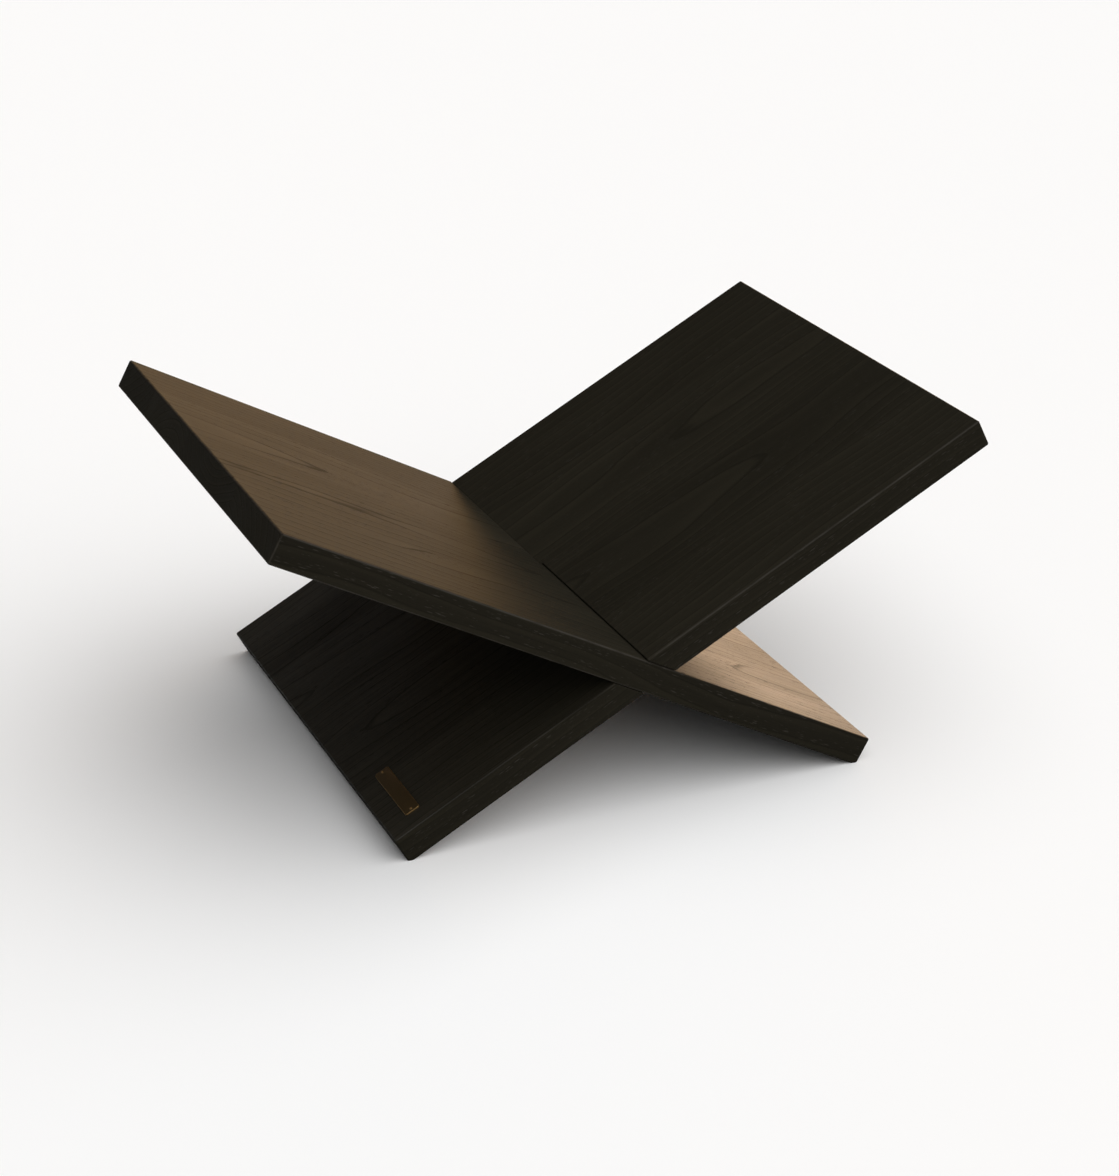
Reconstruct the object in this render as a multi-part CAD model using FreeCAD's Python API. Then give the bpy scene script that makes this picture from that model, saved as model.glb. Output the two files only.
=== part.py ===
import FreeCAD, Part
import math
import os

from FreeCAD import Vector

# Book holder: two equal boards cross in an X, with a valley between their upper arms. Each board is
# glued up from four staves of solid wood, and has a slanted slot to half its depth. The right board's
# slot opens at the front, the left board's at the rear, so the boards slide into each other along Y
# and come apart again for storing flat.
# Millimetres and degrees. +Z is up, Y runs from front to rear, and the origin is on the table,
# under the middle of the crossing.

# Boards
board_depth = 350.0
board_thickness = 22.0
upper_arm = 296.0           # crossing axis to the upper end, along the board
lower_arm = 204.0           # crossing axis to the lower end, along the board
tilt = 28.3                 # board to table
arris_radius = 1.5          # eased outer edges

# Staves of a board: the outer ones by their width, and the glue joint that parts the inner ones
slotted_stave_width = 70.0
whole_stave_width = 87.5
joint_to_slot_end = 19.5    # the slot ends this far past the joint, in the third stave

# Slanted half-lap slots
slot_side_clearance = 0.3   # on each face of the crossing board
slot_end_gap = 0.5          # left between the ends of the two slots
slot_arris_radius = 0.8     # eased edges of the slot's mouth

# Foot
standing_flat = 5.5         # width of the flat planed on the lower end's under edge

# Name plate
plate_length = 60.0
plate_width = 11.5
plate_thickness = 1.0
plate_corner_radius = 2.0
plate_bevel = 0.3
plate_to_foot = 16.5        # lower end of the board to the plate
plate_to_front = 16.5       # front edge of the board to the plate

# Pins of the plate
pin_shank_diameter = 1.2
pin_head_diameter = 2.4
pin_head_height = 0.6
pin_point_length = 1.5
pin_grip = 7.0              # shank below the head, point included
pin_inset = 2.8             # end of the plate to the pin's axis
pin_hole_clearance = 0.05   # on the radius

# Cutting tools run this far past the wood, and edges and faces are told apart to within a tolerance
tool_overrun = 10.0
tolerance = 1e-6

# Worked out from the sizes above
tilt_sine = math.sin(math.radians(tilt))
tilt_cosine = math.cos(math.radians(tilt))
crossing_angle = 2 * tilt
corner_cut = standing_flat * tilt_sine * tilt_cosine
crossing_height = lower_arm * tilt_sine + board_thickness / 2 * tilt_cosine - corner_cut

front_y = -board_depth / 2
face_z = board_thickness / 2
slot_end_y = slot_end_gap / 2

# Joints between the staves, from the slotted edge to the whole edge
middle_joint_y = slot_end_y - joint_to_slot_end
whole_joint_y = board_depth / 2 - whole_stave_width
stave_widths = {
    "slotted_stave": slotted_stave_width,
    "slotted_inner_stave": middle_joint_y - front_y - slotted_stave_width,
    "whole_inner_stave": whole_joint_y - middle_joint_y,
    "whole_stave": whole_stave_width,
}

across = Vector(0, 1, 0)
upright = Vector(0, 0, 1)
origin = Vector(0, 0, 0)


# A board is made in its own frame: X runs along it towards the upper end, Y from front to rear and
# Z out of its upper face, with the crossing axis at the origin. Its slot opens at the front.

def blank_board():
    """A plain board with eased edges."""
    corner = Vector(-lower_arm, front_y, -face_z)
    blank = Part.makeBox(lower_arm + upper_arm, board_depth, board_thickness, corner)
    return blank.makeFillet(arris_radius, blank.Edges)


def slot_tool():
    """The space of the crossing board, with its clearances, from past the front edge to mid-depth."""
    reach = (board_thickness + tool_overrun) / math.sin(math.radians(crossing_angle))
    gap = board_thickness + 2 * slot_side_clearance
    start_y = front_y - tool_overrun
    tool = Part.makeBox(2 * reach, slot_end_y - start_y, gap, Vector(-reach, start_y, -gap / 2))
    tool.rotate(origin, across, crossing_angle)
    return tool


def foot_tool():
    """The wood below the table's plane at the lower end, as the board leans."""
    side = board_thickness + tool_overrun
    corner = Vector(-side, front_y - tool_overrun, -side)
    tool = Part.makeBox(2 * side, board_depth + 2 * tool_overrun, side, corner)
    tool.rotate(origin, across, tilt)
    tool.translate(Vector(-lower_arm + standing_flat * tilt_cosine, 0, -face_z))
    return tool


def is_slot_wall(face):
    """Whether a face is one of the slot's two side walls."""
    wall_normal = FreeCAD.Rotation(across, crossing_angle).multVec(upright)
    flat = isinstance(face.Surface, Part.Plane)
    return flat and abs(face.Surface.Axis.dot(wall_normal)) > 1 - tolerance


def is_at_slot_end(edge):
    """Whether an edge is a corner between a side wall and the end of the slot."""
    return all(abs(vertex.Y - slot_end_y) < tolerance for vertex in edge.Vertexes)


def slot_mouth_edges(board):
    """The outer edges of the slot's side walls, on both faces and on the front edge of the board."""
    edges = [edge for face in board.Faces if is_slot_wall(face) for edge in face.Edges]
    return [edge for edge in edges if not is_at_slot_end(edge)]


def slotted_board():
    """The whole board: slot with eased mouth, and the flat it stands on."""
    board = blank_board().cut(slot_tool())
    board = board.makeFillet(slot_arris_radius, slot_mouth_edges(board))
    return board.cut(foot_tool())


def stave_pieces(name, solids):
    """A stave by name: whole, or in the two pieces that the slot leaves of it."""
    if len(solids) == 1:
        return {name: solids[0]}
    lower, upper = sorted(solids, key=lambda solid: solid.CenterOfMass.x)
    return {f"{name}_lower": lower, f"{name}_upper": upper}


def board_pieces():
    """The staves of one board, by name, with their grain along X and their edges glued flat."""
    board = slotted_board()
    pieces = {}
    joint_y = front_y
    for name, width in stave_widths.items():
        corner = Vector(-lower_arm, joint_y, -face_z)
        space = Part.makeBox(lower_arm + upper_arm, width, board_thickness, corner)
        pieces.update(stave_pieces(name, board.common(space).Solids))
        joint_y += width
    return pieces


# The plate lies on the upper face of the right board, along its lower end.
plate_x = -lower_arm + plate_to_foot
plate_y = front_y + plate_to_front
plate_top_z = face_z + plate_thickness


def pin_places():
    """Where the pins pass through the top of the plate."""
    x = plate_x + plate_width / 2
    return [Vector(x, y, plate_top_z) for y in (plate_y + pin_inset, plate_y + plate_length - pin_inset)]


def pin_holes():
    """Round holes for the shanks, through the plate and into the board."""
    radius = pin_shank_diameter / 2 + pin_hole_clearance
    depth = pin_grip + pin_hole_clearance
    return [Part.makeCylinder(radius, depth, place, -upright) for place in pin_places()]


def name_plate():
    """A bare plate with round corners and a bevelled rim."""
    plate = Part.makeBox(plate_width, plate_length, plate_thickness, Vector(plate_x, plate_y, face_z))
    corners = [edge for edge in plate.Edges if edge.BoundBox.ZLength > plate_thickness / 2]
    plate = plate.makeFillet(plate_corner_radius, corners)
    rim = [edge for edge in plate.Edges if edge.BoundBox.ZMin > plate_top_z - plate_thickness / 2]
    plate = plate.makeChamfer(plate_bevel, rim)
    return plate.cut(pin_holes())


def pin(place):
    """A pointed pin with a domed head that bears on the plate."""
    shank = pin_shank_diameter / 2
    head = pin_head_diameter / 2
    dome_radius = (head ** 2 + pin_head_height ** 2) / (2 * pin_head_height)
    half_way = math.asin(head / dome_radius) / 2
    dome_drop = dome_radius * (1 - math.cos(half_way))
    dome_middle = Vector(dome_radius * math.sin(half_way), 0, pin_head_height - dome_drop)
    top = Vector(0, 0, pin_head_height)
    rim = Vector(head, 0, 0)
    point = Vector(0, 0, -pin_grip)
    straight = [top, point, Vector(shank, 0, pin_point_length - pin_grip), Vector(shank, 0, 0), rim]
    edges = list(Part.makePolygon(straight).Edges)
    edges.append(Part.Arc(rim, dome_middle, top).toShape())
    turned = Part.Face(Part.Wire(edges)).revolve(origin, upright, 360)
    return turned.translated(place)


def lean_right(shape):
    """Takes a piece from the board's own frame to its place in the right board."""
    placed = shape.copy()
    placed.rotate(origin, across, -tilt)
    placed.translate(Vector(0, 0, crossing_height))
    return placed


def lean_left(shape):
    """The left board is the right one turned half round."""
    placed = lean_right(shape)
    placed.rotate(origin, upright, 180)
    return placed


def assembly():
    """All pieces in place, by name."""
    nodes = {}
    for name, piece in board_pieces().items():
        right_name = name.replace("slotted", "front").replace("whole", "rear")
        left_name = name.replace("slotted", "rear").replace("whole", "front")
        nodes[f"right_board_{right_name}"] = lean_right(piece.cut(pin_holes()))
        nodes[f"left_board_{left_name}"] = lean_left(piece)
    nodes["name_plate"] = lean_right(name_plate())
    nodes["name_plate_pins"] = lean_right(Part.makeCompound([pin(place) for place in pin_places()]))
    return nodes


os.makedirs("parts", exist_ok=True)
for node, shape in assembly().items():
    shape.exportStep(f"parts/{node}.step")
    print(f"{node}: {len(shape.Solids)} solid, {shape.Volume:.1f} mm3, valid {shape.isValid()}")
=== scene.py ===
import math
from collections import namedtuple

import bmesh
import bpy
from mathutils import Matrix, Quaternion, Vector


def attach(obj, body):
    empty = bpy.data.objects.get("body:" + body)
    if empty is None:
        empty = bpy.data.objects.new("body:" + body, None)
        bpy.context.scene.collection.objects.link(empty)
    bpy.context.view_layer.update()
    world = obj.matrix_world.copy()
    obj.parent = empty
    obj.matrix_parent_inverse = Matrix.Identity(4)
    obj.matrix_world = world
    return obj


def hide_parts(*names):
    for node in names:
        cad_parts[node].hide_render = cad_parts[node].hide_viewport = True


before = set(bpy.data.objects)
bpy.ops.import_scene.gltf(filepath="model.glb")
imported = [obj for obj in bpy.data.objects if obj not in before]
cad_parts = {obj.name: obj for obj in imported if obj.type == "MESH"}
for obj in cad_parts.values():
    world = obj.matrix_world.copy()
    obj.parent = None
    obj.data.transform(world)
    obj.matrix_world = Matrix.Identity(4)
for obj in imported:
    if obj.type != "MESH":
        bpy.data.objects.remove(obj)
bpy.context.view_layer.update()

bl_info = {
    "name": "Book holder",
    "version": (1, 0, 0),
    "blender": (4, 5, 0),
    "location": "3D View > Sidebar > Book Holder",
    "description": "Finishes the crossed boards and the name plate of a book holder, and lights them",
    "category": "Object",
}

MILLIMETRE = 0.001


# Where the boards lie

class Board:
    """A leaning board. In its own frame X runs along it to the right, Y to the rear and Z out of its face."""

    def __init__(self, body):
        self.body = body
        self.staves = [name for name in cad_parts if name.startswith(body)]
        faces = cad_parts[self.staves[0]].data.polygons
        upper = max(faces, key=lambda face: face.area * face.normal.z)
        under = max(faces, key=lambda face: -face.area * face.normal.z)
        middle = (upper.center + under.center).dot(upper.normal) / 2
        self.lean = math.atan2(upper.normal.x, upper.normal.z)
        self.height = middle / upper.normal.z
        self.matrix = Matrix.Translation((0, 0, self.height)) @ Matrix.Rotation(self.lean, 4, "Y")
        self.low, self.high = self.local_box(self.staves)

    def local_box(self, nodes):
        """Lowest and highest corner of some CAD nodes, in the board's frame and in metres."""
        inverse = self.matrix.inverted()
        points = [inverse @ vertex.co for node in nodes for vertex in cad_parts[node].data.vertices]
        low = Vector(min(point[axis] for point in points) for axis in range(3))
        high = Vector(max(point[axis] for point in points) for axis in range(3))
        return low, high


left_board = Board("left_board")
right_board = Board("right_board")


# Sizes and colours that a user would change

def length(label, words, millimetres):
    """A length property whose default is given in millimetres."""
    return bpy.props.FloatProperty(
        name=label, description=words, unit="LENGTH", default=millimetres * MILLIMETRE)


def angle(label, words, degrees):
    """An angle property whose default is given in degrees."""
    return bpy.props.FloatProperty(
        name=label, description=words, subtype="ANGLE", default=math.radians(degrees))


def point(label, words, right, rear, up):
    """A point property in metres."""
    return bpy.props.FloatVectorProperty(
        name=label, description=words, subtype="TRANSLATION", size=3, default=(right, rear, up))


def colour(label, words, red, green, blue):
    """A colour property in linear red, green and blue."""
    return bpy.props.FloatVectorProperty(
        name=label, description=words, subtype="COLOR", size=3, default=(red, green, blue), min=0, max=1)


def share(label, words, default):
    """A property that runs from nothing to all."""
    return bpy.props.FloatProperty(
        name=label, description=words, subtype="FACTOR", default=default, min=0, max=1)


def brightness(label, words, default):
    """How bright a light is."""
    return bpy.props.FloatProperty(name=label, description=words, default=default, min=0)


class WoodFinish(bpy.types.PropertyGroup):
    """Finish of the stained staves."""
    stain: colour("Stain", "Wood between the pores", 0.0128, 0.0113, 0.0076)
    stain_light: colour("Light stain", "Late wood, which takes less stain", 0.0205, 0.0179, 0.0119)
    pore: colour("Pores", "Dry residue of the finish in open pores", 0.040, 0.036, 0.030)
    # The rubbed arris colour is partly real wear and partly a painted highlight on the eased edges
    rubbed: colour("Rubbed arris", "Stain rubbed thin on the eased edges", 0.036, 0.031, 0.025)
    ring_width: length("Ring width", "Distance between growth rings on the end grain", 6.4)
    pore_length: length("Pore length", "Length of the open pores along the grain", 9.0)
    pore_spacing: length("Pore spacing", "Distance between pores across the grain", 1.0)
    roughness: share("Roughness", "How rough the stained wood is", 0.60)
    reflection: share("Reflection", "Strength of the wood's own reflection", 0.016)
    lacquer_upper: share("Upper lacquer", "How much lacquer use has left on the upper arms", 0.056)
    lacquer_lower: share("Lower lacquer", "How much lacquer is left on the lower arms", 0.84)
    lacquer_arris: share("Arris lacquer", "How much lacquer is left on the eased edges", 0.30)
    lacquer_roughness: share("Lacquer roughness", "How rough the lacquer is", 0.34)
    edge_stain: share("Edge stain", "How dark the edges are, which take more stain", 0.72)
    # Reach of the worn band round an edge, which also paints the arris highlight
    wear_and_highlight_width: length("Wear width", "Reach of the rubbed stain round an edge", 1.35)


class BrassFinish(bpy.types.PropertyGroup):
    """Sizes and finish of the name plate and its pins."""
    brass: colour("Brass", "Brass where it is rubbed bright", 0.34, 0.205, 0.075)
    brown: colour("Browned brass", "Brass under its brown patina", 0.115, 0.075, 0.032)
    metallic: share("Metallic", "How bare the metal is", 0.9)
    roughness: share("Roughness", "How rough the browned brass is", 0.46)
    corner_radius: length("Corner radius", "Round corners of the plate", 2.0)
    edge_radius: length("Edge radius", "Eased upper edge of the plate", 0.3)
    polish_width: length("Polish width", "How far in from its edge the plate is rubbed bright", 0.55)


class StageLight(bpy.types.PropertyGroup):
    """Floor, light and camera."""
    floor: colour("Floor", "Pale studio floor", 0.95, 0.95, 0.95)
    sky: brightness("Sky", "Soft light from all round", 0.50)
    shade: share("Shade", "Share of the sky's light that is left at the rear and left", 0.10)
    key: brightness("Key light", "Soft light from above", 2.4)
    key_place: point("Key place", "Where the key light comes from", 0.6, -0.6, 1.9)
    key_aim: point("Key aim", "Where the key light points", 0, 0, 0.1)
    key_spread: angle("Key spread", "How broad the key light is, as the object sees it", 110)
    glow: brightness("Glow", "Warm light along the horizon, at the right and rear", 8.0)
    glow_colour: colour("Glow colour", "Colour of the warm light", 1.0, 0.575, 0.235)
    glow_side: angle("Glow side", "Where the warm light is, from the rear to the right", 35)
    camera_place: point("Camera", "Where the camera stands", -0.6776, -1.4923, 0.8517)
    camera_aim: point("Aim", "Point in the middle of the picture", 0.0032, -0.0257, 0.1074)
    camera_roll: angle("Roll", "Turn of the camera about its line of sight", 0.83)
    lens: bpy.props.FloatProperty(
        name="Lens", description="Focal length on a 36 mm long side", default=74.17, min=1, unit="CAMERA")


# Shader nodes

# A soft noise: how large its patches are on each axis, its octaves of detail and how rough those are
Noise = namedtuple("Noise", "size detail roughness", defaults=(2, 0.5))


class Wire:
    """A socket of a material's node tree. Arithmetic on wires adds Math nodes."""

    def __init__(self, tree, socket=None):
        self.tree = tree
        self.socket = socket

    def node(self, kind, settings, inputs, output=0):
        """A new node with its settings, and the values or wires of its sockets. Gives its output."""
        node = self.tree.nodes.new(kind)
        for name, value in settings.items():
            setattr(node, name, value)
        for key, value in inputs.items():
            if isinstance(value, Wire):
                self.tree.links.new(value.socket, node.inputs[key])
            else:
                node.inputs[key].default_value = value
        return Wire(self.tree, node.outputs[output]) if len(node.outputs) else None

    def math(self, operation, *values):
        """One Math node."""
        return self.node("ShaderNodeMath", {"operation": operation}, dict(enumerate(values)))

    def __add__(self, other):
        return self.math("ADD", self, other)

    __radd__ = __add__

    def __sub__(self, other):
        return self.math("SUBTRACT", self, other)

    def __rsub__(self, other):
        return self.math("SUBTRACT", other, self)

    def __mul__(self, other):
        return self.math("MULTIPLY", self, other)

    __rmul__ = __mul__

    def __truediv__(self, other):
        return self.math("DIVIDE", self, other)

    def __rtruediv__(self, other):
        return self.math("DIVIDE", other, self)

    def __pow__(self, other):
        return self.math("POWER", self, other)

    def __rpow__(self, other):
        return self.math("POWER", other, self)

    def least(self, other):
        return self.math("MINIMUM", self, other)

    def most(self, other):
        return self.math("MAXIMUM", self, other)

    def fraction(self):
        return self.math("FRACT", self)

    def swing(self):
        """How far a noise is from its middle."""
        return self - 0.5

    def step(self, low, high):
        """Rises smoothly from 0 at low to 1 at high. Falls where low is the larger."""
        inputs = {"Value": self, "From Min": low, "From Max": high, "To Min": 0, "To Max": 1}
        return self.node("ShaderNodeMapRange", {"interpolation_type": "SMOOTHSTEP"}, inputs)

    def mix(self, first, second):
        """The first colour where this wire is 0, the second where it is 1."""
        settings = {"data_type": "RGBA", "clamp_factor": True}
        return self.node("ShaderNodeMix", settings, {0: self, 6: opaque(first), 7: opaque(second)}, 2)

    def in_units(self, size):
        """This vector, counted in units of the given size on each axis."""
        scale = [1 / extent for extent in size]
        return self.node("ShaderNodeVectorMath", {"operation": "MULTIPLY"}, {0: self, 1: scale})

    def noise(self, size, detail, roughness):
        """Soft noise from 0 to 1 over this vector."""
        inputs = {"Vector": self.in_units(size), "Scale": 1, "Detail": detail, "Roughness": roughness}
        return self.node("ShaderNodeTexNoise", {}, inputs)

    def cells(self, size):
        """Distance to the nearest of many scattered points, in cells of the given size on each axis."""
        inputs = {"Vector": self.in_units(size), "Scale": 1}
        return self.node("ShaderNodeTexVoronoi", {}, inputs, "Distance")

    def axes(self):
        """The three numbers of this vector."""
        return [self.node("ShaderNodeSeparateXYZ", {}, {0: self}, axis) for axis in "XYZ"]

    def bump(self, strength, millimetres):
        """The normal of a surface with this height, which is so many millimetres deep."""
        inputs = {"Strength": strength, "Distance": millimetres * MILLIMETRE, "Height": self}
        return self.node("ShaderNodeBump", {}, inputs)


def opaque(value):
    """A colour with its alpha, or a wire as it is."""
    return value if isinstance(value, Wire) else (*value, 1)


def toned(plain, tone):
    """A colour made darker or lighter."""
    return [channel * tone for channel in plain]


def weighed(features, weights, base):
    """Features of a surface times their weights, added to a base."""
    total = base
    for name, weight in weights.items():
        total = features[name] * weight + total
    return total


def new_material(name):
    """An empty material and a wire in its tree to start from."""
    material = bpy.data.materials.new(name)
    material.use_nodes = True
    material.node_tree.nodes.clear()
    return material, Wire(material.node_tree)


def finish_surface(start, inputs):
    """Ends a tree in a Principled shader with the given sockets."""
    shader = start.node("ShaderNodeBsdfPrincipled", {}, inputs)
    start.node("ShaderNodeOutputMaterial", {}, {"Surface": shader})


def board_millimetres(start, board):
    """Coordinates in the board's own frame, in millimetres."""
    place = start.node("ShaderNodeTexCoord", {}, {}, "Object")
    inputs = {
        "Vector": place,
        "Location": (0, 0, board.height),
        "Rotation": (0, board.lean, 0),
        "Scale": (MILLIMETRE,) * 3,
    }
    return start.node("ShaderNodeMapping", {"vector_type": "TEXTURE"}, inputs)


def dress(obj, material):
    """Gives an object one material for all its faces."""
    obj.data.materials.clear()
    obj.data.materials.append(material)


# Staves

# How each stave was cut: where the trunk's heart lay, from the middle of the stave towards the rear and
# up, in millimetres, and how light the stave is
Cut = namedtuple("Cut", "heart_depth heart_rise tone")
cuts = {
    "left_board_rear_stave": Cut(58, 52, 0.94),
    "left_board_rear_inner_stave": Cut(-16, -47, 1.10),
    "left_board_front_inner_stave": Cut(-7, 42, 1.00),
    "left_board_front_stave": Cut(48, -66, 1.05),
    "right_board_front_stave": Cut(-62, 58, 1.06),
    "right_board_front_inner_stave": Cut(12, 45, 0.95),
    "right_board_rear_inner_stave": Cut(9, -44, 1.04),
    "right_board_rear_stave": Cut(-55, -60, 0.97),
}
CUT_SPACING = 900           # along the trunk, from one stave to the next, in millimetres

# What varies in the wood, with its sizes along the grain and both ways across it, in millimetres
TRUNK_SWAY = Noise((260, 80, 80), detail=1)
RING_RIPPLE = Noise((70, 16, 16))
PORE_DRIFT = Noise((45, 9, 9))
FIBRES = Noise((60, 0.9, 0.9), detail=3, roughness=0.6)
CLOUDS = Noise((170, 40, 40))
# Marks of the rubbed stain on the arrises, which also paint their highlight
RUB_AND_HIGHLIGHT_MARKS = Noise((24, 5, 5), detail=3, roughness=0.65)

# Growth rings: how far they wander, in millimetres, and where in a ring each part begins and is full
SWAY_REACH = 30
RIPPLE_REACH = 2.6
EARLY_FADE = 3              # power by which the early wood fades along the ring
LATE_WOOD = (0.45, 0.9)
DARK_LINE = (0.86, 0.98)

# Pores: where one begins and is fully open, in shares of their spacing, how much wider it is in the early
# wood, at which drift its dry residue begins to show and is full, and how far it shows on the edges
PORE_RIM = 0.16
PORE_MIDDLE = 0.05
EARLY_RIM = 0.22
EARLY_MIDDLE = 0.16
PORE_CLUSTERS = (0.3, 0.75)
EDGE_PORES = 0.6

# Specks between the pores: how much finer they are, where one begins and is full, at which drift they
# begin to show and are full, and how strong they are
SPECK_FINENESS = (2, 2.1, 2.1)
SPECK_REACH = (0.20, 0.08)
SPECK_DRIFT = (0.45, 0.65)
SPECK_SHARE = 0.6

# What the features of the grain add to the wood's lightness, lacquer, roughness and height
LIGHTNESS = {"late": 0.5, "line": -0.9, "fibres": 1.3, "clouds": 0.9}
LIGHTNESS_BASE = 0.3
LACQUER = {"fibres": 1.5, "clouds": 1.1, "line": -0.45, "pores": -0.9}
LACQUER_BASE = 1.05
ROUGHNESS = {"fibres": 0.4, "clouds": 0.3, "pores": 0.35, "line": 0.15}
HEIGHT = {"fibres": 0.35, "pores": -1, "late": 0.2}
GRAIN_BUMP = 0.5
GRAIN_DEPTH = 0.12          # millimetres

# Where the darker stain of the edges begins and is full, in millimetres from the side
EDGE_GRAIN = (1.4, 0.2)

# Lacquer: where it ends and is full, in millimetres below the face, and where the lacquered arm begins
# and is full, up the board from the crossing
LACQUER_END = 0.5
LACQUER_FULL = 0.15
LACQUERED_ARM = (10, -130)
LACQUER_IOR = 1.4

# Rubbing, which also paints the arris highlight: where the rubbed arm begins and is full, in millimetres up
# the board from the crossing, at which values of their noise its marks begin and are full, and how much of
# the stain gives way to the lighter colour, which is partly wear and partly a painted highlight
RUBBED_AND_HIGHLIT_ARM = (-60, 20)
RUB_AND_HIGHLIGHT_CONTRAST = (0.15, 0.6)
RUBBED_AND_HIGHLIGHT_SHARE = 0.8


def to_sides(board, place):
    """How far a point is from the board's ends, its front or rear, and its faces, in millimetres."""
    gaps = []
    for axis, value in enumerate(place):
        low = board.low[axis] / MILLIMETRE
        high = board.high[axis] / MILLIMETRE
        gaps.append((value - low).least(high - value))
    return gaps


def growth_rings(trunk, from_heart, over_heart, width):
    """How far out a point is in its growth ring, from 0 to 1. The rings wander as the trunk does."""
    radius = (from_heart * from_heart + over_heart * over_heart) ** 0.5
    radius = radius + trunk.noise(*TRUNK_SWAY).swing() * SWAY_REACH
    radius = radius + trunk.noise(*RING_RIPPLE).swing() * RIPPLE_REACH
    return (radius / width).fraction()


def open_pores(trunk, early, drift, finish):
    """Open pores, wider in the early wood, and fine specks where the pores drift together."""
    spacing = finish.pore_spacing / MILLIMETRE
    size = (finish.pore_length / MILLIMETRE, spacing, spacing)
    speck_size = [extent / fineness for extent, fineness in zip(size, SPECK_FINENESS)]
    pores = trunk.cells(size).step(PORE_RIM + early * EARLY_RIM, PORE_MIDDLE + early * EARLY_MIDDLE)
    specks = trunk.cells(speck_size).step(*SPECK_REACH) * drift.step(*SPECK_DRIFT) * SPECK_SHARE
    return pores.most(specks)


def rubbed_and_highlit_edges(trunk, to_edge, upwards, width):
    """Where the stain is rubbed thin on the upper arm's eased edges, in marks that also paint their
    highlight.
    """
    marks = trunk.noise(*RUB_AND_HIGHLIGHT_MARKS)
    return to_edge.step(width, width / 2) * marks.step(*RUB_AND_HIGHLIGHT_CONTRAST) * upwards.step(*RUBBED_AND_HIGHLIT_ARM)


def stained_wood(name, board, middle, along_trunk, finish):
    """Solid ring-porous wood, stained near black, under a thin lacquer."""
    cut = cuts[name]
    material, start = new_material(name)
    place = board_millimetres(start, board)
    along, depth, rise = place.axes()
    upwards = along * -math.copysign(1, board.lean)
    to_end, to_front, to_face = to_sides(board, (along, depth, rise))
    to_edge = (to_end + to_front).least(to_front + to_face).least(to_face + to_end)
    trunk = start.node("ShaderNodeVectorMath", {"operation": "ADD"}, {0: place, 1: (along_trunk, 0, 0)})

    # Features of the grain
    from_heart = depth - (middle / MILLIMETRE + cut.heart_depth)
    ring = growth_rings(trunk, from_heart, rise - cut.heart_rise, finish.ring_width / MILLIMETRE)
    drift = trunk.noise(*PORE_DRIFT)
    pores = open_pores(trunk, (1 - ring) ** EARLY_FADE, drift, finish)
    features = {
        "late": ring.step(*LATE_WOOD),
        "line": ring.step(*DARK_LINE),
        "pores": pores,
        "fibres": trunk.noise(*FIBRES).swing(),
        "clouds": trunk.noise(*CLOUDS).swing(),
    }

    # Stain, darker on the edges, rubbed thin on the arrises, where its lighter colour is also a painted
    # highlight, and dry in the pores
    lightness = weighed(features, LIGHTNESS, LIGHTNESS_BASE)
    face_wood, edge_wood = [
        lightness.mix(toned(finish.stain, tone), toned(finish.stain_light, tone))
        for tone in (cut.tone, cut.tone * finish.edge_stain)
    ]
    on_edge = to_front.least(to_end).step(*EDGE_GRAIN)
    wear_and_highlight = rubbed_and_highlit_edges(trunk, to_edge, upwards, finish.wear_and_highlight_width / MILLIMETRE)
    wood = on_edge.mix(face_wood, edge_wood)
    # The lighter rubbed colour on the arrises is partly wear and partly a painted highlight
    wood = (wear_and_highlight * RUBBED_AND_HIGHLIGHT_SHARE).mix(wood, finish.rubbed)
    wood = (pores * drift.step(*PORE_CLUSTERS).most(on_edge * EDGE_PORES)).mix(wood, finish.pore)

    # Lacquer on the face, mostly rubbed off the upper arm in use
    face_rise = board.high.z / MILLIMETRE
    on_face = rise.step(face_rise - LACQUER_END, face_rise - LACQUER_FULL)
    left_over = upwards.step(*LACQUERED_ARM) * (finish.lacquer_lower - finish.lacquer_upper)
    left_over = left_over + finish.lacquer_upper
    lacquer = left_over * weighed(features, LACQUER, LACQUER_BASE) * on_face
    finish_surface(start, {
        "Base Color": wood,
        "Roughness": weighed(features, ROUGHNESS, finish.roughness),
        "Specular IOR Level": finish.reflection,
        "Coat Weight": lacquer.most(wear_and_highlight * finish.lacquer_arris),
        "Coat Roughness": finish.lacquer_roughness,
        "Coat IOR": LACQUER_IOR,
        "Normal": weighed(features, HEIGHT, 0).bump(GRAIN_BUMP, GRAIN_DEPTH),
    })
    return material


class BOOKHOLDER_OT_staves(bpy.types.Operator):
    """Stain the staves of both boards, each with the growth rings of its own place in the trunk"""
    bl_idname = "bookholder.staves"
    bl_label = "Stain staves"

    def execute(self, context):
        finish = context.scene.bookholder_wood
        for number, stave in enumerate(cuts):
            board = left_board if stave.startswith(left_board.body) else right_board
            pieces = [node for node in board.staves if node.startswith(stave)]
            low, high = board.local_box(pieces)
            material = stained_wood(stave, board, (low.y + high.y) / 2, number * CUT_SPACING, finish)
            for node in pieces:
                dress(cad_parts[node], material)
        return {"FINISHED"}


# Name plate

# What varies in the brass, with its sizes across the plate, along it and through it, in millimetres
BRUSHING = Noise((0.12, 9, 0.5), detail=3, roughness=0.6)
PATINA = Noise((2.6, 3.4, 2.6), detail=4, roughness=0.6)
SPOTS = Noise((0.7, 0.7, 0.7))

# How bright rubbing makes the rim of the plate and the heads of the pins, which are told by their height
RIM_POLISH = 0.45
HEAD_POLISH = 0.6
HEAD_RISE = (0.05, 0.4)     # millimetres above the plate

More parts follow.
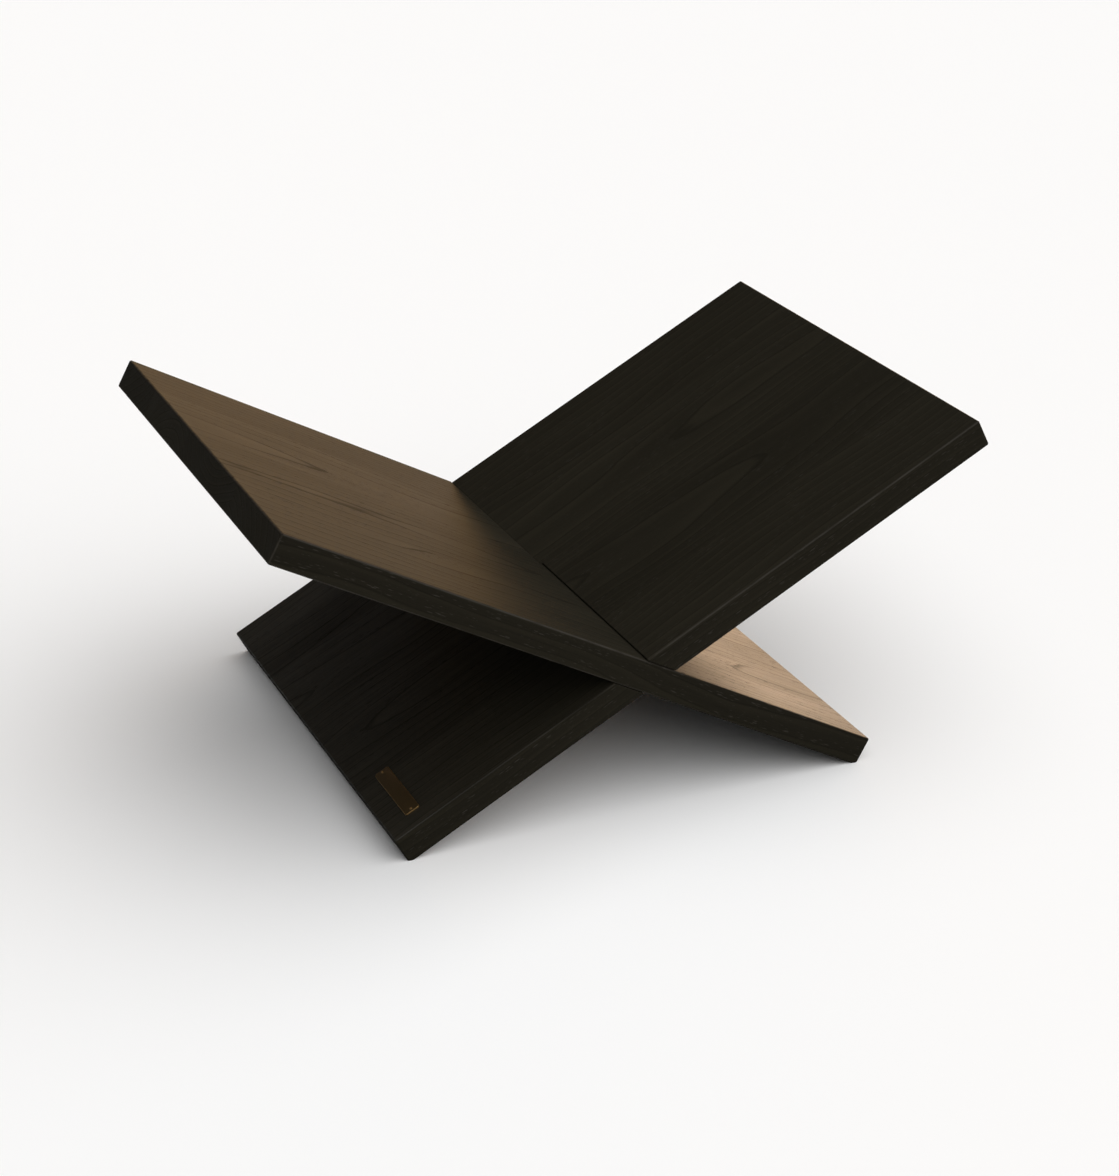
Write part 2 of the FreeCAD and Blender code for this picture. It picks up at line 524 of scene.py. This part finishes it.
# What brushing and patina add to the brightness, roughness and height, and how dark the spots are
BRASS_BRIGHTNESS = {"patina": 1.2, "brushing": 0.5}
BRASS_CONTRAST = (0.1, 0.9)
BRASS_ROUGHNESS = {"bright": -0.14, "brushing": 0.22}
BRASS_HEIGHT = {"brushing": 0.6, "patina": 0.3}
BRASS_BUMP = 0.35
BRASS_DEPTH = 0.03          # millimetres
SPOT_REACH = (0.62, 0.72)
SPOT_SHARE = 0.7
SPOT_TONE = 0.35

# Fineness of the meshes
CORNER_SEGMENTS = 8
EDGE_SEGMENTS = 3
DOME_SEGMENTS = 6
PIN_SIDES = 28
SHARP_ANGLE = math.radians(40)
MERGE_DISTANCE = 1e-6


def aged_brass(name, board, finish):
    """Dull brass, brushed along the plate, brown, and rubbed bright on the plate's rim and the pins."""
    material, start = new_material(name)
    place = board_millimetres(start, board)
    along, depth, rise = place.axes()
    low, high = [corner / MILLIMETRE for corner in board.local_box(["name_plate"])]
    to_side = (along - low.x).least(high.x - along)
    to_end = (depth - low.y).least(high.y - depth)
    polish = finish.polish_width / MILLIMETRE
    rim = to_side.least(to_end).step(polish, polish / 2) * RIM_POLISH
    heads = (rise - high.z).step(*HEAD_RISE) * HEAD_POLISH
    features = {
        "brushing": place.noise(*BRUSHING).swing(),
        "patina": place.noise(*PATINA).swing(),
    }
    bright = weighed(features, BRASS_BRIGHTNESS, rim.most(heads)).step(*BRASS_CONTRAST)
    features["bright"] = bright
    spots = place.noise(*SPOTS).step(*SPOT_REACH) * SPOT_SHARE
    metal = bright.mix(finish.brown, finish.brass)
    finish_surface(start, {
        "Base Color": spots.mix(metal, toned(finish.brown, SPOT_TONE)),
        "Metallic": finish.metallic,
        "Roughness": weighed(features, BRASS_ROUGHNESS, finish.roughness),
        "Normal": weighed(features, BRASS_HEIGHT, 0).bump(BRASS_BUMP, BRASS_DEPTH),
    })
    return material


def ease(mesh_builder, edges, radius, segments):
    """Rounds some edges of a mesh."""
    bmesh.ops.bevel(
        mesh_builder, geom=edges, offset=radius, offset_type="OFFSET", segments=segments, profile=0.5,
        affect="EDGES", material=-1)


def new_piece(mesh_builder, name, node, material, board):
    """Puts a finished brass mesh in its place on the board, attaches it to the board's body and hides the CAD
    node it takes the place of.
    """
    bmesh.ops.transform(mesh_builder, matrix=board.matrix, verts=mesh_builder.verts)
    bmesh.ops.recalc_face_normals(mesh_builder, faces=mesh_builder.faces)
    mesh = bpy.data.meshes.new(name)
    mesh_builder.to_mesh(mesh)
    mesh_builder.free()
    mesh.shade_smooth()
    mesh.set_sharp_from_angle(angle=SHARP_ANGLE)
    piece = bpy.data.objects.new(name, mesh)
    bpy.context.scene.collection.objects.link(piece)
    dress(piece, material)
    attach(piece, board.body)
    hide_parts(node)


class BOOKHOLDER_OT_name_plate(bpy.types.Operator):
    """Make the bare name plate, with round corners and an eased edge"""
    bl_idname = "bookholder.name_plate"
    bl_label = "Make name plate"

    def execute(self, context):
        finish = context.scene.bookholder_brass
        low, high = right_board.local_box(["name_plate"])
        size = high - low
        plate = bmesh.new()
        bmesh.ops.create_cube(plate, size=1)
        bmesh.ops.scale(plate, vec=size, verts=plate.verts)
        bmesh.ops.translate(plate, vec=(low + high) / 2, verts=plate.verts)
        upright = [
            edge for edge in plate.edges
            if abs(edge.verts[0].co.z - edge.verts[1].co.z) > size.z / 2
        ]
        ease(plate, upright, finish.corner_radius, CORNER_SEGMENTS)
        top = max(plate.faces, key=lambda face: face.calc_center_median().z)
        ease(plate, list(top.edges), finish.edge_radius, EDGE_SEGMENTS)
        material = aged_brass("aged_brass_plate", right_board, finish)
        new_piece(plate, "eased_plate", "name_plate", material, right_board)
        return {"FINISHED"}


def pin_outline(head_radius, plate_top, low_z, high_z):
    """Half the outline of a pin: a domed head that bears on the plate, a thinner shank and a point."""
    shank_radius = head_radius / 2
    head_height = high_z - plate_top
    dome_radius = (head_radius ** 2 + head_height ** 2) / (2 * head_height)
    dome_reach = math.asin(head_radius / dome_radius)
    outline = []
    for step in range(DOME_SEGMENTS + 1):
        turn = dome_reach * step / DOME_SEGMENTS
        drop = dome_radius * (1 - math.cos(turn))
        outline.append(Vector((dome_radius * math.sin(turn), 0, high_z - drop)))
    outline.append(Vector((shank_radius, 0, plate_top)))
    outline.append(Vector((shank_radius, 0, low_z + shank_radius * 2)))
    outline.append(Vector((0, 0, low_z)))
    return outline


class BOOKHOLDER_OT_plate_pins(bpy.types.Operator):
    """Turn the two pins that hold the name plate, with domed heads"""
    bl_idname = "bookholder.plate_pins"
    bl_label = "Turn plate pins"

    def execute(self, context):
        finish = context.scene.bookholder_brass
        low, high = right_board.local_box(["name_plate_pins"])
        plate_top = right_board.local_box(["name_plate"])[1].z
        head_radius = (high.x - low.x) / 2
        outline = pin_outline(head_radius, plate_top, low.z, high.z)
        pins = bmesh.new()
        for middle_y in (low.y + head_radius, high.y - head_radius):
            centre = Vector(((low.x + high.x) / 2, middle_y, 0))
            points = [pins.verts.new(corner + centre) for corner in outline]
            edges = [pins.edges.new(pair) for pair in zip(points, points[1:])]
            bmesh.ops.spin(
                pins, geom=points + edges, cent=centre, axis=(0, 0, 1), angle=math.tau, steps=PIN_SIDES,
                use_merge=True)
        bmesh.ops.remove_doubles(pins, verts=pins.verts, dist=MERGE_DISTANCE)
        material = aged_brass("aged_brass_pins", right_board, finish)
        new_piece(pins, "domed_pins", "name_plate_pins", material, right_board)
        return {"FINISHED"}


# Stage

# Floor: how far it reaches and how large its mottle is, in metres, and how strong and dark the mottle is
FLOOR_REACH = 40
FLOOR_MOTTLE = Noise((2 / 3, 2 / 3, 2 / 3), detail=3)
MOTTLE_SHARE = 0.5
MOTTLE_TONE = 0.985
FLOOR_ROUGHNESS = 0.9

SENSOR = 36                 # long side of the picture, in millimetres

# The glow begins and is full at these cosines of the angle from its middle and sines of the height
GLOW_SIDES = (0.8, 0.98)
GLOW_TOP = (0.28, 0.02)

# The sky brightens from the left and rear to the right and front. These are a direction's rightward
# less its rearward part, where the shade ends and where the sky is full.
SKY_SIDES = (-7 / 6, 5 / 6)


def pale_floor(stage):
    """Plain pale studio floor with the faintest mottle."""
    material, start = new_material("studio_floor")
    place = start.node("ShaderNodeTexCoord", {}, {}, "Object")
    mottle = place.noise(*FLOOR_MOTTLE) * MOTTLE_SHARE
    shade = mottle.mix(stage.floor, toned(stage.floor, MOTTLE_TONE))
    finish_surface(start, {"Base Color": shade, "Roughness": FLOOR_ROUGHNESS, "Specular IOR Level": 0})
    return material


def lay_floor(stage):
    """The floor that the object stands on."""
    floor = bmesh.new()
    bmesh.ops.create_grid(floor, x_segments=1, y_segments=1, size=FLOOR_REACH)
    mesh = bpy.data.meshes.new("floor")
    floor.to_mesh(mesh)
    floor.free()
    obj = bpy.data.objects.new("floor", mesh)
    bpy.context.scene.collection.objects.link(obj)
    dress(obj, pale_floor(stage))


def studio_sky(stage):
    """Soft light, mostly from the front and right, with a warm glow low at the right and rear."""
    world = bpy.data.worlds.new("studio")
    world.use_nodes = True
    world.node_tree.nodes.clear()
    start = Wire(world.node_tree)
    towards = start.node("ShaderNodeTexCoord", {}, {}, "Generated")
    right, rear, up = towards.axes()
    level = (right * right + rear * rear) ** 0.5
    facing = (right * math.sin(stage.glow_side) + rear * math.cos(stage.glow_side)) / level
    glow = facing.step(*GLOW_SIDES) * up.step(*GLOW_TOP)
    sky = (right - rear).step(*SKY_SIDES).mix([stage.sky * stage.shade] * 3, [stage.sky] * 3)
    light = glow.mix(sky, toned(stage.glow_colour, stage.glow))
    background = start.node("ShaderNodeBackground", {}, {"Color": light, "Strength": 1})
    start.node("ShaderNodeOutputWorld", {}, {"Surface": background})
    return world


def aimed(name, data, place, aim, roll=0):
    """A lamp or camera that stands at a place, points at another and is turned about its line of sight."""
    obj = bpy.data.objects.new(name, data)
    look = (Vector(aim) - Vector(place)).to_track_quat("-Z", "Y")
    obj.location = place
    obj.rotation_euler = (look @ Quaternion((0, 0, 1), roll)).to_euler()
    bpy.context.scene.collection.objects.link(obj)
    return obj


def add_key_light(stage):
    """One broad soft light from above."""
    data = bpy.data.lights.new("key", "SUN")
    data.energy = stage.key
    data.angle = stage.key_spread
    aimed("key", data, stage.key_place, stage.key_aim)


def add_camera(stage):
    """The camera at the photograph's viewing angle."""
    data = bpy.data.cameras.new("camera")
    data.sensor_width = SENSOR
    data.lens = stage.lens
    camera = aimed("camera", data, stage.camera_place, stage.camera_aim, stage.camera_roll)
    bpy.context.scene.camera = camera


class BOOKHOLDER_OT_stage(bpy.types.Operator):
    """Lay the floor, set the light and place the camera"""
    bl_idname = "bookholder.stage"
    bl_label = "Set stage"

    def execute(self, context):
        stage = context.scene.bookholder_stage
        context.scene.view_settings.view_transform = "Standard"
        lay_floor(stage)
        context.scene.world = studio_sky(stage)
        add_key_light(stage)
        add_camera(stage)
        return {"FINISHED"}


# Add-on

class BOOKHOLDER_PT_panel(bpy.types.Panel):
    """Lists the steps that finish the book holder, and their settings"""
    bl_label = "Book Holder"
    bl_idname = "BOOKHOLDER_PT_panel"
    bl_space_type = "VIEW_3D"
    bl_region_type = "UI"
    bl_category = "Book Holder"

    def draw(self, context):
        for operator in operators:
            self.layout.operator(operator.bl_idname)
        for group in groups:
            settings = getattr(context.scene, group)
            for name in settings.__annotations__:
                self.layout.prop(settings, name)


operators = (BOOKHOLDER_OT_staves, BOOKHOLDER_OT_name_plate, BOOKHOLDER_OT_plate_pins, BOOKHOLDER_OT_stage)
groups = {"bookholder_wood": WoodFinish, "bookholder_brass": BrassFinish, "bookholder_stage": StageLight}
classes = (*groups.values(), *operators, BOOKHOLDER_PT_panel)


def register():
    """Makes the settings, steps and panel known."""
    for cls in classes:
        bpy.utils.register_class(cls)
    for name, group in groups.items():
        setattr(bpy.types.Scene, name, bpy.props.PointerProperty(type=group))


def unregister():
    """Takes them back."""
    for name in groups:
        delattr(bpy.types.Scene, name)
    for cls in reversed(classes):
        bpy.utils.unregister_class(cls)


def main():
    """Finishes the book holder."""
    register()
    bpy.ops.bookholder.staves()
    bpy.ops.bookholder.name_plate()
    bpy.ops.bookholder.plate_pins()
    bpy.ops.bookholder.stage()


if __name__ == "__main__":
    main()
